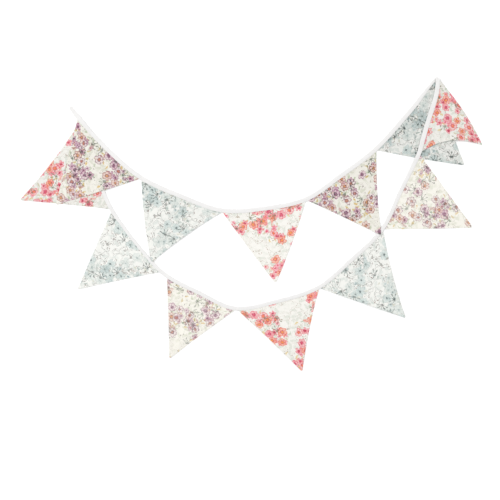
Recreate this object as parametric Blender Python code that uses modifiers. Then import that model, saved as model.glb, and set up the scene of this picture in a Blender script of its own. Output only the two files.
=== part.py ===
"""Fabric bunting: twelve printed pennants sewn into one folded tape, laid flat and doubled back."""

import math

import bmesh
import bpy
import numpy as np

MM = 0.001

# Cloth and tape, in millimetres
CLOTH = 1.0          # thickness of a pennant, and of one leaf of the tape
TAPE_WIDTH = 10.0    # from the tape's mouth to its folded edge
TAPE_END_WIDTH = 8.0  # the loose end is pressed narrower
TUCK = 7.5           # how far a pennant's top edge reaches into the tape
SLOT_GAP = 0.3       # between a pennant and each leaf of the tape
SHUT_GAP = 0.4       # between the leaves where no pennant lies in them
SHUTTING = 0.1       # how fast the leaves close beside a pennant, for each millimetre
TIP_WIDTH = 3.0      # a turned and pressed point is a little blunt
TURN_RADIUS = 2.6    # of the tape's middle where the string doubles back
TURN_STEPS = 8
BARE_STEP = 7.0      # between two marks on bare tape
BEND_POINTS = 5      # round the tape's folded edge

# How cloth lies on cloth, in millimetres
AIR = 0.6            # between an upper piece and what it crosses
EASE = 26.0          # length over which a pennant comes down from the tape
MOUTH_EDGE = 1.0     # a pennant is still level with its slot this far outside the tape
REACH = 12.0         # an upper piece stays up this far beside what it crosses
SLOPE = 0.15         # and comes down at this rate after that
END_REACH = 6.0      # the same two for the tape beside its own hidden end
END_SLOPE = 0.3
TURN_SLOPE = 0.12    # the doubled-back tape comes down at this rate after its turn

# Strips and rows of a pennant that lies on the floor, and of one draped over others
PLAIN_GRID = (8, 10)
DRAPED_GRID = (12, 14)
DRAPED = ("pennant_01", "pennant_06")

# The line of the tape's mouth, in millimetres, seen from above with the layout's middle near
# zero. The first run goes from the loose end to the turn, and the second comes back over it.
FIRST_RUN = (
    (-398, 254), (-379, 227), (-314, 156), (-243, 97), (-157, 57), (-65, 25), (28, 29),
    (121, 50), (197, 101), (273, 159), (341, 233), (402, 307), (410, 315),
)
SECOND_RUN = (
    (407, 280), (391, 228), (378, 184), (370, 154), (331, 71), (289, -15), (223, -81),
    (148, -143), (55, -174), (-36, -189), (-116, -155), (-196, -111), (-261, -40),
    (-311, 31), (-331, 75), (-352, 128), (-384, 215), (-386, 221),
)

# A row for each pennant in its order on the tape, in millimetres. The gap is the bare tape
# before it. Its point lies reach away from the middle of its top edge and lean further along.
# The bows swell its two sides outward, or draw them in below zero. The rise is the height of
# the soft ridges that fan out from the tape, and ridges is how many lie side by side.
COLUMNS = ("name", "print", "gap", "width", "reach", "lean", "bow_a", "bow_b", "rise", "ridges")
FIRST_PENNANTS = (
    ("pennant_01", "purple", 33, 185, 163, 1, 0, 1, 2.0, 1.5),
    ("pennant_02", "blue", 8, 187, 154, -7, 4, -5, 2.5, 1.5),
    ("pennant_03", "coral", 5, 181, 164, 3, 1, 3, 0.0, 1.0),
    ("pennant_04", "purple", 8, 182, 151, -6, -1, -3, 2.0, 1.0),
    ("pennant_05", "blue", 6, 192, 161, 3, 2, -2, 1.0, 1.0),
)
SECOND_PENNANTS = (
    ("pennant_06", "coral", 2, 158, 122, 32, 6, -17, 4.0, 2.5),
    ("pennant_07", "purple", 10, 177, 167, 4, 0, 1, 2.0, 1.0),
    ("pennant_08", "blue", 9, 183, 168, -1, -4, 0, 1.5, 1.5),
    ("pennant_09", "coral", 8, 180, 159, -10, -3, -2, 2.0, 1.5),
    ("pennant_10", "purple", 12, 161, 151, 1, -1, -1, 3.0, 1.5),
    ("pennant_11", "blue", 25, 165, 157, -2, -1, 0, 2.5, 1.5),
    ("pennant_12", "coral", 12, 190, 169, -7, -1, -5, 2.0, 1.5),
)
LOOSE_STUB = 8       # bare tape left after the last pennant

# Colours as they look on screen, for each print as a whole
COLOURS = {
    "purple": (0.78, 0.70, 0.74),
    "blue": (0.80, 0.84, 0.84),
    "coral": (0.92, 0.74, 0.71),
    "tape": (0.93, 0.93, 0.92),
}
ROUGHNESS = 0.85

# Half the distance between the middles of the tape's two leaves
OPEN_HALF = CLOTH / 2 + SLOT_GAP + CLOTH / 2
SHUT_HALF = CLOTH / 2 + SHUT_GAP / 2


def clear_scene():
    for item in list(bpy.data.objects):
        bpy.data.objects.remove(item, do_unlink=True)


def linear(value):
    """One screen colour channel as the linear value that a material takes."""
    return value / 12.92 if value <= 0.04045 else ((value + 0.055) / 1.055) ** 2.4


def cotton(name):
    material = bpy.data.materials.new("cotton_" + name)
    material.use_nodes = True
    shader = material.node_tree.nodes["Principled BSDF"]
    shader.inputs["Base Color"].default_value = (*[linear(value) for value in COLOURS[name]], 1.0)
    shader.inputs["Roughness"].default_value = ROUGHNESS
    shader.inputs["Metallic"].default_value = 0.0
    return material


def unit(vector):
    return vector / np.linalg.norm(vector)


def between(a, b, low, high, at):
    return ((high - at) * a + (at - low) * b) / (high - low)


def smooth_piece(knots, steps):
    """Points of the smooth curve between the two middle knots of four."""
    spans = np.linalg.norm(np.diff(knots, axis=0), axis=1) ** 0.5
    t0, t1, t2, t3 = np.concatenate([[0.0], np.cumsum(spans)])
    points = []
    for t in np.linspace(t1, t2, steps, endpoint=False):
        first = between(knots[0], knots[1], t0, t1, t)
        second = between(knots[1], knots[2], t1, t2, t)
        third = between(knots[2], knots[3], t2, t3, t)
        before = between(first, second, t0, t2, t)
        after = between(second, third, t1, t3, t)
        points.append(between(before, after, t1, t2, t))
    return points


class Run:
    """A stretch of the tape's mouth line, measured along its length."""

    def __init__(self, points, edge_side, steps=12):
        knots = np.array(points, float)
        knots = np.vstack([2 * knots[0] - knots[1], knots, 2 * knots[-1] - knots[-2]])
        curve = []
        for first in range(len(knots) - 3):
            curve += smooth_piece(knots[first:first + 4], steps)
        self.line = np.array(curve + [knots[-2]])
        lengths = np.linalg.norm(np.diff(self.line, axis=0), axis=1)
        self.marks = np.concatenate([[0.0], np.cumsum(lengths)])
        self.edge_side = edge_side  # +1 with the folded edge on the left of the way, -1 on the right

    def point(self, along):
        return np.array([np.interp(along, self.marks, self.line[:, axis]) for axis in (0, 1)])

    def direction(self, along, reach=3.0):
        start = self.point(max(along - reach, 0.0))
        end = self.point(min(along + reach, self.marks[-1]))
        return unit(end - start)

    def outward(self, along):
        """From the mouth toward the folded edge."""
        x, y = self.direction(along)
        return np.array([-y, x]) * self.edge_side


def read_rows(rows):
    return [dict(zip(COLUMNS, row)) for row in rows]


def grid_of(row):
    return DRAPED_GRID if row["name"] in DRAPED else PLAIN_GRID


def marks_along(rows, tail):
    """Places along a run where the tape gets a section, and where each pennant starts in them."""
    marks = [0.0]
    starts = {}
    end = 0.0
    for row in rows:
        bare = max(2, round(row["gap"] / BARE_STEP) + 1)
        marks += list(np.linspace(end, end + row["gap"], bare + 1)[1:])
        starts[row["name"]] = len(marks) - 1
        strips = grid_of(row)[0]
        end += row["gap"]
        marks += list(np.linspace(end, end + row["width"], strips + 1)[1:])
        end += row["width"]
    marks += list(np.linspace(end, end + tail, 3)[1:])
    return np.array(marks), starts


def leaf_half(marks, rows):
    """Half opening of the tape at each mark: open at a pennant, closing beside it."""
    away = np.full(len(marks), np.inf)
    end = 0.0
    for row in rows:
        start = end + row["gap"]
        end = start + row["width"]
        away = np.minimum(away, np.maximum(np.maximum(start - marks, marks - end), 0.0))
    return np.maximum(SHUT_HALF, OPEN_HALF - SHUTTING * away)


def height_over(places, lower, reach, slope):
    """Least height for an underside at each place, above the tops of all the lower pieces."""
    needed = np.zeros(len(places))
    for top in lower:
        apart = np.linalg.norm(places[:, None, :2] - top[None, :, :2], axis=2)
        cone = top[None, :, 2] + AIR - slope * np.maximum(apart - reach, 0.0)
        needed = np.maximum(needed, cone.max(axis=1))
    return needed


def fine_points(grid, parts=4):
    """A grid of points filled in between, as one list."""
    rows, columns = grid.shape[:2]
    down = np.linspace(0, rows - 1, (rows - 1) * parts + 1)
    across = np.linspace(0, columns - 1, (columns - 1) * parts + 1)
    row = np.minimum(down.astype(int), rows - 2)
    column = np.minimum(across.astype(int), columns - 2)
    v = (down - row)[:, None, None]
    u = (across - column)[None, :, None]
    upper = grid[row][:, column] * (1 - u) + grid[row][:, column + 1] * u
    under = grid[row + 1][:, column] * (1 - u) + grid[row + 1][:, column + 1] * u
    return (upper * (1 - v) + under * v).reshape(-1, 3)


class Stretch:
    """The sections of the tape along one run, and how high each one lies."""

    def __init__(self, run, rows, tail):
        self.run = run
        self.rows = rows
        self.marks, self.starts = marks_along(rows, tail)
        self.half = leaf_half(self.marks, rows)
        self.mouth = np.array([run.point(mark) for mark in self.marks])
        self.out = np.array([run.outward(mark) for mark in self.marks])
        self.width = np.full(len(self.marks), TAPE_WIDTH)
        self.bottom = np.zeros(len(self.marks))

    def rest_on(self, lower, reach, slope):
        """Lift the tape over the lower pieces, at its mouth, middle and folded edge."""
        for share in (0.0, 0.5, 1.0):
            places = self.mouth + self.out * TAPE_WIDTH * share
            self.bottom = np.maximum(self.bottom, height_over(places, lower, reach, slope))

    def slot(self):
        """Height of the middle between the two leaves."""
        return self.bottom + CLOTH / 2 + self.half

    def top(self, start=0, end=None):
        """Points over the tape's upper face, between two of its sections."""
        height = (self.slot() + self.half + CLOTH / 2)[:, None]
        sides = [np.hstack([self.mouth + self.out * side, height]) for side in (0.0, TAPE_WIDTH)]
        return fine_points(np.array(sides)[:, start:end])


def lay_pennant(stretch, row, lower):
    """Middle surface of one pennant: rows from the tucked edge to the point, strips across."""
    strips, rows = grid_of(row)
    first = stretch.starts[row["name"]]
    mouth = stretch.mouth[first:first + strips + 1]
    out = stretch.out[first:first + strips + 1]
    slot = stretch.slot()[first:first + strips + 1]
    start, end = mouth[0], mouth[-1]
    along = unit(end - start)
    inward = np.array([along[1], -along[0]]) * stretch.run.edge_side
    point = (start + end) / 2 + row["reach"] * inward + row["lean"] * along
    side_a = unit(point - start)
    side_b = unit(point - end)
    bow_a = -along - side_a * np.dot(-along, side_a)
    bow_b = along - side_b * np.dot(along, side_b)
    share = np.linspace(0.0, 1.0, strips + 1)

    grid = np.zeros((rows + 1, strips + 1, 3))
    grid[0, :, :2] = mouth + TUCK * out
    grid[1, :, :2] = mouth - MOUTH_EDGE * out
    grid[:2, :, 2] = slot
    tip = point + np.outer(share - 0.5, along) * TIP_WIDTH
    for index in range(2, rows + 1):
        down = (index - 1) / (rows - 1)
        bulge = 4 * down * (1 - down)
        places = grid[1, :, :2] * (1 - down) + tip * down
        places = places + np.outer(1 - share, unit(bow_a)) * row["bow_a"] * bulge
        places = places + np.outer(share, unit(bow_b)) * row["bow_b"] * bulge
        settled = min(down * row["reach"] / EASE, 1.0)
        drop = 1 - settled * settled * (3 - 2 * settled)
        ridge = row["rise"] * math.sin(math.pi * down) * (1 - np.cos(2 * math.pi * row["ridges"] * share)) / 2
        height = CLOTH / 2 + (slot - CLOTH / 2) * drop + ridge
        least = height_over(places, lower, REACH, SLOPE) + CLOTH / 2
        grid[index, :, :2] = places
        grid[index, :, 2] = np.maximum(height, least)
    return grid


def pennant_top(grid):
    return fine_points(grid) + np.array([0.0, 0.0, CLOTH / 2])


def turn_sections(first, second_start):
    """Sections where the tape rolls over a slanting line and comes back above itself."""
    entry = np.append(first.mouth[-1], first.slot()[-1])
    way = first.run.direction(first.marks[-1])
    out = first.out[-1]
    line = unit(way + unit(np.array(second_start) - first.mouth[-1]))
    across = np.array([-line[1], line[0]])
    across = across * math.copysign(1.0, np.dot(across, way))
    shift = math.pi * TURN_RADIUS / np.dot(way, across) * np.dot(way, line)
    sections = []
    for step in range(TURN_STEPS + 1):
        angle = math.pi * step / TURN_STEPS
        roll = np.append(across * math.cos(angle), math.sin(angle))
        flat = np.append(line, 0.0)
        place = entry + flat * shift * step / TURN_STEPS
        place = place + TURN_RADIUS * np.append(across * math.sin(angle), 1 - math.cos(angle))
        outward = flat * np.dot(out, line) + roll * np.dot(out, across)
        up = np.append(-across * math.sin(angle), math.cos(angle))
        sections.append((place, outward, up, first.half[-1], TAPE_WIDTH))
    return sections


def stretch_sections(stretch, up):
    sections = []
    for mouth, out, height, half, width in zip(
            stretch.mouth, stretch.out, stretch.slot(), stretch.half, stretch.width):
        sections.append((np.append(mouth, height), np.append(out, 0.0), np.array(up), half, width))
    return sections


def tape_grid(sections):
    """Middle line of the folded tape at each section: lower leaf, round edge, upper leaf."""
    grid = []
    for place, out, up, half, width in sections:
        bend = width - CLOTH / 2 - half
        profile = [(0.0, -half)]
        for k in range(BEND_POINTS):
            angle = math.pi * k / (BEND_POINTS - 1)
            profile.append((bend + half * math.sin(angle), -half * math.cos(angle)))
        profile.append((0.0, half))
        grid.append([place + out * w + up * h for w, h in profile])
    return np.array(grid)


def cloth_object(name, grid, material, collection, parent):
    """A sheet from a grid primitive moved to the given points and made solid."""
    rows, columns = grid.shape[:2]
    origin = grid.reshape(-1, 3).mean(axis=0)
    shape = bmesh.new()
    bmesh.ops.create_grid(shape, x_segments=columns - 1, y_segments=rows - 1, size=0.5)
    for vertex in shape.verts:
        column = round((vertex.co.x + 0.5) * (columns - 1))
        row = round((vertex.co.y + 0.5) * (rows - 1))
        vertex.co = (grid[row, column] - origin) * MM
    mesh = bpy.data.meshes.new(name)
    shape.to_mesh(mesh)
    shape.free()
    mesh.shade_smooth()
    mesh.materials.append(material)
    piece = bpy.data.objects.new(name, mesh)
    piece.location = origin * MM
    piece.parent = parent
    solid = piece.modifiers.new("cloth", 'SOLIDIFY')
    solid.thickness = CLOTH * MM
    solid.offset = 0.0
    solid.use_even_offset = True
    collection.objects.link(piece)
    return piece


def lay_out():
    """Every piece's grid, laid in the order in which the string was put down."""
    first_rows = read_rows(FIRST_PENNANTS)
    second_rows = read_rows(SECOND_PENNANTS)
    first_run = Run(FIRST_RUN, 1)
    used = sum(row["gap"] + row["width"] for row in first_rows)
    first = Stretch(first_run, first_rows, first_run.marks[-1] - used)
    first.width[0] = TAPE_END_WIDTH
    turn = turn_sections(first, SECOND_RUN[0])
    turn_end = turn[-1][0]
    second = Stretch(Run((turn_end[:2],) + SECOND_RUN, -1), second_rows, LOOSE_STUB)

    first.rest_on([second.top(second.starts["pennant_12"])], END_REACH, END_SLOPE)
    grids = {}
    rows = {row["name"]: row for row in first_rows + second_rows}
    tops = {}

    def lay(stretch, name, over):
        grids[name] = lay_pennant(stretch, rows[name], over)
        tops[name] = pennant_top(grids[name])

    lay(first, "pennant_03", [])
    lay(first, "pennant_05", [])
    turn_bottom = turn_end[2] - first.half[-1] - CLOTH / 2
    second.bottom = np.maximum(turn_bottom - TURN_SLOPE * second.marks, 0.0)
    second.rest_on([tops["pennant_05"], first.top(first.starts["pennant_05"])], REACH, SLOPE)
    for name in ("pennant_08", "pennant_09", "pennant_10", "pennant_11", "pennant_12"):
        lay(second, name, [])
    lay(second, "pennant_06", [tops["pennant_05"], first.top()])
    lay(second, "pennant_07", [tops["pennant_05"]])
    lay(first, "pennant_01", [second.top(), tops["pennant_12"]])
    lay(first, "pennant_02", [second.top(), tops["pennant_11"]])
    lay(first, "pennant_04", [second.top(), tops["pennant_07"], tops["pennant_08"]])

    sections = stretch_sections(first, (0.0, 0.0, 1.0)) + turn[1:]
    sections += stretch_sections(second, (0.0, 0.0, -1.0))[1:]
    grids["tape"] = tape_grid(sections)
    prints = {name: row["print"] for name, row in rows.items()}
    return grids, prints


def build():
    clear_scene()
    collection = bpy.data.collections.new("fabric_bunting")
    bpy.context.scene.collection.children.link(collection)
    grids, prints = lay_out()
    every = np.vstack([grid.reshape(-1, 3) for grid in grids.values()])
    middle = (every.min(axis=0) + every.max(axis=0)) / 2
    root = bpy.data.objects.new("layout", None)
    root.location = (-middle[0] * MM, -middle[1] * MM, 0.0)
    collection.objects.link(root)
    materials = {name: cotton(name) for name in COLOURS}
    for name in sorted(grids):
        cloth_object(name, grids[name], materials[prints.get(name, "tape")], collection, root)


build()
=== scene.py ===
import math

import bmesh
import bpy
import numpy as np
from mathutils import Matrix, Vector, noise


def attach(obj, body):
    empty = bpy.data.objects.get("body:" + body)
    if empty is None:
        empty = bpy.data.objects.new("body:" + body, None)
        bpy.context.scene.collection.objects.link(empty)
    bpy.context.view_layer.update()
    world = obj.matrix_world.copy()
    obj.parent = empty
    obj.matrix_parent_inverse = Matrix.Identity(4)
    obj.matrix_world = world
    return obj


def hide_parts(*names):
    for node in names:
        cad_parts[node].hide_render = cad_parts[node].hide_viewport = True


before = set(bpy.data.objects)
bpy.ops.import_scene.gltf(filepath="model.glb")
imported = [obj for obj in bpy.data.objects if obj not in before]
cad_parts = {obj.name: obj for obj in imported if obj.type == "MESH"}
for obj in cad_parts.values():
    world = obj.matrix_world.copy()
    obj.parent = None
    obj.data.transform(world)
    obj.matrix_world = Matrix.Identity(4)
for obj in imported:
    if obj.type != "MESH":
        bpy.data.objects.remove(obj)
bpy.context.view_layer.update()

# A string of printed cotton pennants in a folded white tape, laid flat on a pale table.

scene = bpy.context.scene


# The table top. A smooth matt white board that the string lies on, lit softly from all round
# and a little more from the upper left, and looked at from straight above.

MM = 0.001
PHOTO_WIDTH = 1.09      # metres that the picture takes in, from side to side
PHOTO_CENTRE = (-0.0028, -0.0575)
LENS = 100
SENSOR = 36
TABLE_SIZE = 9.0
TABLE_DROP = 0.3        # millimetres down, clear of the stitches under the tape
TABLE_WHITE = "FBFBFB"
PAINT_GRAIN = 10.0      # millimetres; real paint is grained finer than one, too fine to show
ROOM_LIGHT = 0.96
SOFTBOX_SIZE = 2.4
SOFTBOX_POWER = 72
SOFTBOX_PLACE = (-2.2, 2.0, 3.4)


def linear(code):
    """An sRGB hex colour as the linear values that a material takes."""
    channels = [int(code[k:k + 2], 16) / 255 for k in (0, 2, 4)]
    return [c / 12.92 if c <= 0.04045 else ((c + 0.055) / 1.055) ** 2.4 for c in channels] + [1.0]


def fill(tree, node, inputs):
    """Sets each named socket of a node to a value, or links it to a socket or a node's first output."""
    for socket, value in inputs.items():
        if isinstance(value, bpy.types.Node):
            value = value.outputs[0]
        if isinstance(value, bpy.types.NodeSocket):
            tree.links.new(value, node.inputs[socket])
        else:
            node.inputs[socket].default_value = value


def add(tree, kind, inputs, **settings):
    """Adds one node with its settings and links."""
    made = tree.nodes.new("ShaderNode" + kind)
    for option, value in settings.items():
        setattr(made, option, value)
    fill(tree, made, inputs)
    return made


def new_material(name):
    """A plain material, its nodes and its shader."""
    material = bpy.data.materials.new(name)
    material.use_nodes = True
    return material, material.node_tree, material.node_tree.nodes["Principled BSDF"]


camera = bpy.data.objects.new("camera", bpy.data.cameras.new("camera"))
camera.data.lens = LENS
camera.data.sensor_width = SENSOR
camera.location = (*PHOTO_CENTRE, PHOTO_WIDTH * LENS / SENSOR)
camera.data.clip_end = 50
scene.collection.objects.link(camera)
scene.camera = camera
scene.view_settings.view_transform = "Standard"

# Board painted matt white with a roller. It looks bright and even, with no shine.
board, tree, paint = new_material("matt_white_board")
grain = add(tree, "TexNoise", {"Scale": TABLE_SIZE / (PAINT_GRAIN * MM), "Detail": 2.0})
relief = add(tree, "Bump", {"Height": grain, "Strength": 0.02, "Distance": 0.2 * MM})
fill(tree, paint, {"Normal": relief, "Base Color": linear(TABLE_WHITE), "Roughness": 0.7})
bpy.ops.mesh.primitive_plane_add(size=TABLE_SIZE, location=(0, 0, -TABLE_DROP * MM))
table = bpy.context.object
table.name = "table_top"
table.data.materials.append(board)

world = bpy.data.worlds.new("studio")
scene.world = world
world.use_nodes = True
glow = world.node_tree.nodes["Background"]
fill(world.node_tree, glow, {"Color": (1.0, 1.0, 1.0, 1.0), "Strength": ROOM_LIGHT})
lamp = bpy.data.objects.new("softbox", bpy.data.lights.new("softbox", "AREA"))
lamp.data.shape = "SQUARE"
lamp.data.size = SOFTBOX_SIZE
lamp.data.energy = SOFTBOX_POWER
lamp.location = SOFTBOX_PLACE
lamp.rotation_euler = (-lamp.location).to_track_quat("-Z", "Y").to_euler()
scene.collection.objects.link(lamp)


# How the string lies. The line is the mouth of the tape, where the pennants come out of it,
# in millimetres as seen from above: one run from the loose end to the turn, one back over it.
# At the turn the tape rolls over a slanting line, as a strip of paper does.

FIRST_RUN = (
    (-398, 254), (-379, 227), (-314, 156), (-243, 97), (-157, 57), (-65, 25), (28, 29),
    (121, 50), (197, 101), (273, 159), (341, 233), (402, 307), (410, 315),
)
SECOND_RUN = (
    (407, 280), (391, 228), (378, 184), (370, 154), (331, 71), (289, -15), (223, -81),
    (148, -143), (55, -174), (-36, -189), (-116, -155), (-196, -111), (-261, -40),
    (-311, 31), (-331, 75), (-352, 128), (-384, 215), (-386, 221),
)
LAYOUT_SHIFT = np.array([0.5, -1.94])   # brings the middle of the layout to the origin
CURVE_STEPS = 30
TURN_RADIUS = 1.7
FAR_OFF = 40.0       # nothing further off than this holds a piece up
BATCH = 500          # points measured in one go, to spare memory


def unit(vector):
    return vector / np.linalg.norm(vector)


def between(a, b, low, high, at):
    return ((high - at) * a + (at - low) * b) / (high - low)


def smooth_piece(knots, steps):
    """Points of the smooth curve between the two middle knots of four."""
    spans = np.linalg.norm(np.diff(knots, axis=0), axis=1) ** 0.5
    t0, t1, t2, t3 = np.concatenate([[0.0], np.cumsum(spans)])
    points = []
    for t in np.linspace(t1, t2, steps, endpoint=False):
        first = between(knots[0], knots[1], t0, t1, t)
        second = between(knots[1], knots[2], t1, t2, t)
        third = between(knots[2], knots[3], t2, t3, t)
        before = between(first, second, t0, t2, t)
        after = between(second, third, t1, t3, t)
        points.append(between(before, after, t1, t2, t))
    return points


class Run:
    """A stretch of the tape's mouth line, measured along its length."""

    def __init__(self, points, edge_side):
        knots = np.array(points, float)
        knots = np.vstack([2 * knots[0] - knots[1], knots, 2 * knots[-1] - knots[-2]])
        curve = []
        for first in range(len(knots) - 3):
            curve += smooth_piece(knots[first:first + 4], CURVE_STEPS)
        self.line = np.array(curve + [knots[-2]])
        lengths = np.linalg.norm(np.diff(self.line, axis=0), axis=1)
        self.marks = np.concatenate([[0.0], np.cumsum(lengths)])
        self.length = self.marks[-1]
        self.edge_side = edge_side  # +1 with the folded edge on the left of the way, -1 on the right

    def points(self, along):
        return np.stack([np.interp(along, self.marks, self.line[:, axis]) for axis in (0, 1)], axis=-1)

    def outward(self, along, reach=4.0):
        """From the mouth toward the folded edge."""
        ahead = self.points(np.minimum(along + reach, self.length))
        way = ahead - self.points(np.maximum(along - reach, 0.0))
        way = way / np.linalg.norm(way, axis=-1, keepdims=True)
        return np.stack([-way[..., 1], way[..., 0]], axis=-1) * self.edge_side


def height_over(places, lower, gap, reach, slope):
    """Least height for an underside at each place, above the tops of all the lower pieces."""
    needed = np.zeros(len(places))
    low, high = places.min(axis=0) - FAR_OFF, places.max(axis=0) + FAR_OFF
    for top in lower:
        near = top[((top[:, :2] > low) & (top[:, :2] < high)).all(axis=1)]
        for start in range(0, len(near), BATCH):
            part = near[start:start + BATCH]
            apart = np.linalg.norm(places[:, None, :] - part[None, :, :2], axis=2)
            cone = part[None, :, 2] + gap - slope * np.maximum(apart - reach, 0.0)
            needed = np.maximum(needed, cone.max(axis=1))
    return needed


def fold_line(stretch, next_point):
    """The slanting line that the tape rolls over: where it starts, the way in, along it and across it."""
    entry = np.append(stretch.mouth[-1], stretch.slot()[-1])
    way = unit(stretch.mouth[-1] - stretch.mouth[-2])
    line = unit(way + unit(np.array(next_point) - stretch.mouth[-1]))
    across = np.array([-line[1], line[0]])
    return entry, way, line, across * math.copysign(1.0, np.dot(across, way))


def rolled_over(point, fold):
    """A point of the tape laid straight on past the fold line, brought round and back above it."""
    entry, _, line, across = fold
    flat, up = point[:2] - entry[:2], point[2] - entry[2]
    ahead = np.dot(flat, across)
    if ahead <= 0:
        return point
    angle = min(ahead / TURN_RADIUS, math.pi)
    reach = (TURN_RADIUS - up) * math.sin(angle) - max(ahead - math.pi * TURN_RADIUS, 0.0)
    height = TURN_RADIUS - (TURN_RADIUS - up) * math.cos(angle)
    return entry + np.append(line * np.dot(flat, line) + across * reach, height)


# The pennants. Each is two triangles of thin printed cotton, sewn on both long sides, turned and
# pressed, with its open top edge tucked into the tape. They lie with soft ridges that fan out
# from the tape, and some lie over other pennants and over the tape.

CLOTH = 0.7          # two cottons, pressed
TAPE_WIDTH = 10.0
TAPE_STEP = 2.5
LEAF = 0.6           # one leaf of the tape, with its raw edge turned in
SLOT_GAP = 0.06      # between a pennant and each leaf
SHUT_GAP = 0.1       # between the leaves where no pennant is
SHUTTING = 0.06      # how fast the tape closes past a pennant's corner
TOP_LINES = (0.0, 3.0, 6.0, 9.6)   # from the mouth, where the tape's upper face is measured
EASED_MARKS = 9
TUCK = 7.5
TIP_WIDTH = 3.0
SEAM_ALLOWANCE = 6.5  # the turned-in edges make the sides a little thicker
SEAM_RISE = 0.16
SEAM_STEP = 1.2
EASE = 16.0          # from the tape's mouth to where the cloth has come down to the table
LOOSE_FROM = 12.0    # and to where nothing holds its ripples down
RIDGE_SHARE = 0.8
BROAD_WAVE, BROAD_RISE, BROAD_START = 42.0, 0.9, 0.15
FINE_WAVE, FINE_RISE = 15.0, 0.25
PUCKER_LENGTH, PUCKER_RISE, PUCKER_FADE, PUCKER_SWAY = 8.5, 0.5, 9.0, 4
GAP = 0.15           # between cloth and the cloth that it lies on
PROUD = 0.3          # the tape's puffed leaf and its stitches stand this far above the plain leaf
REACH = 2.5          # cloth stays up this far past the edge of what it lies on
SLOPE = 0.22         # and comes down this steeply
TAPE_REACH = 5.0
FIRST_SLOPE = 0.25
SECOND_SLOPE = 0.12
SECOND_FALL = 0.08   # how fast the second run comes down from the turn
SEED_STEP = 3.7      # sets each pennant's ripples apart from the others'
STRIPS = 56
CROWDED = 0.5        # how much closer the strips lie toward the seams
ROW_STEP = 2.8
TUCKED_ROWS = (-TUCK, -4.0, -1.0, 0.6)   # the last of them is just out of the tape
RIM_SHARE = 0.35     # of the thickness is rounded off along an edge
# The gap is bare tape before the pennant, the lean is its point's way off the middle, and the bows
# are its sides'. The cut is the place and turn on the printed bolt that it was cut from.
COLUMNS = ("name", "print", "gap", "width", "reach", "lean", "bow_a", "bow_b", "rise", "ridges",
           "cut", "over")
FIRST_PENNANTS = (
    ("pennant_01", "purple", 33, 185, 163, 1, 0, 1, 2.0, 1.5, (-70, 1040, 8), ("second", "pennant_12")),
    ("pennant_02", "blue", 8, 187, 154, -7, 4, -5, 2.5, 1.5, (40, 800, 12), ("second", "pennant_11")),
    ("pennant_03", "coral", 5, 181, 164, 3, 1, 3, 0.5, 1.0, (240, 700, -8), ()),
    ("pennant_04", "purple", 8, 182, 151, -6, -1, -3, 2.0, 1.0, (310, 1060, 5),
     ("second", "pennant_07", "pennant_08")),
    ("pennant_05", "blue", 6, 192, 161, 3, 2, -2, 1.0, 1.0, (240, 1270, -20), ()),
)
SECOND_PENNANTS = (
    ("pennant_06", "coral", 2, 158, 122, 32, 6, -17, 4.0, 2.5, (20, 1050, 30), ("pennant_05", "first")),
    ("pennant_07", "purple", 10, 177, 167, 4, 0, 1, 2.0, 1.0, (150, 330, 95), ("pennant_05",)),
    ("pennant_08", "blue", 9, 183, 168, -1, -4, 0, 1.5, 1.5, (270, 240, 60), ()),
    ("pennant_09", "coral", 8, 180, 159, -10, -3, -2, 2.0, 1.5, (330, 660, 170), ()),
    ("pennant_10", "purple", 12, 161, 151, 1, -1, -1, 3.0, 1.5, (60, 560, 185), ()),
    ("pennant_11", "blue", 25, 165, 157, -2, -1, 0, 2.5, 1.5, (140, 330, 220), ()),
    ("pennant_12", "coral", 12, 190, 169, -7, -1, -5, 2.0, 1.5, (400, 990, 250), ()),
)
LOOSE_STUB = 8
LAID = ("pennant_03", "pennant_05", "second", "pennant_08", "pennant_09", "pennant_10", "pennant_11",
        "pennant_12", "pennant_06", "pennant_07", "pennant_01", "pennant_02", "pennant_04")
OPEN_HALF = CLOTH / 2 + SLOT_GAP + LEAF / 2
SHUT_HALF = LEAF / 2 + SHUT_GAP / 2


class Stretch:
    """The sections of the tape along one run, and how high each one lies."""

    def __init__(self, run, rows, tail):
        self.run = run
        self.starts = {}
        end = 0.0
        spans = []
        for row in rows:
            self.starts[row["name"]] = end + row["gap"]
            end += row["gap"] + row["width"]
            spans.append((end - row["width"], end))
        self.marks = np.linspace(0.0, end + tail, round((end + tail) / TAPE_STEP) + 1)
        away = np.full(len(self.marks), np.inf)
        for start, stop in spans:
            away = np.minimum(away, np.maximum(np.maximum(start - self.marks, self.marks - stop), 0.0))
        self.half = np.maximum(SHUT_HALF, OPEN_HALF - SHUTTING * away)
        self.mouth = run.points(self.marks)
        self.out = run.outward(self.marks)
        self.bottom = np.zeros(len(self.marks))

    def rest_on(self, lower, gap, reach, slope):
        """Lift the tape over the lower pieces, then ease its line."""
        for share in (0.0, 0.5, 1.0):
            places = self.mouth + self.out * TAPE_WIDTH * share
            self.bottom = np.maximum(self.bottom, height_over(places, lower, gap, reach, slope))
        padded = np.pad(self.bottom, EASED_MARKS // 2, mode="edge")
        eased = np.convolve(padded, np.ones(EASED_MARKS) / EASED_MARKS, mode="valid")
        self.bottom = np.maximum(self.bottom, eased)

    def slot(self):
        """Height of the middle between the two leaves."""
        return self.bottom + LEAF / 2 + self.half

    def top(self, start=0.0):
        """Points over the tape's upper face, from one mark on."""
        kept = self.marks >= start
        height = (self.slot() + self.half + LEAF / 2 + PROUD)[kept, None]
        return np.vstack([np.hstack([(self.mouth + self.out * side)[kept], height]) for side in TOP_LINES])


def ripple(x, y, length, seed):
    """Smooth unevenness from -1 to 1, with its humps about that many millimetres apart."""
    return noise.noise(Vector((x / length, y / length, seed)))


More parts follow.
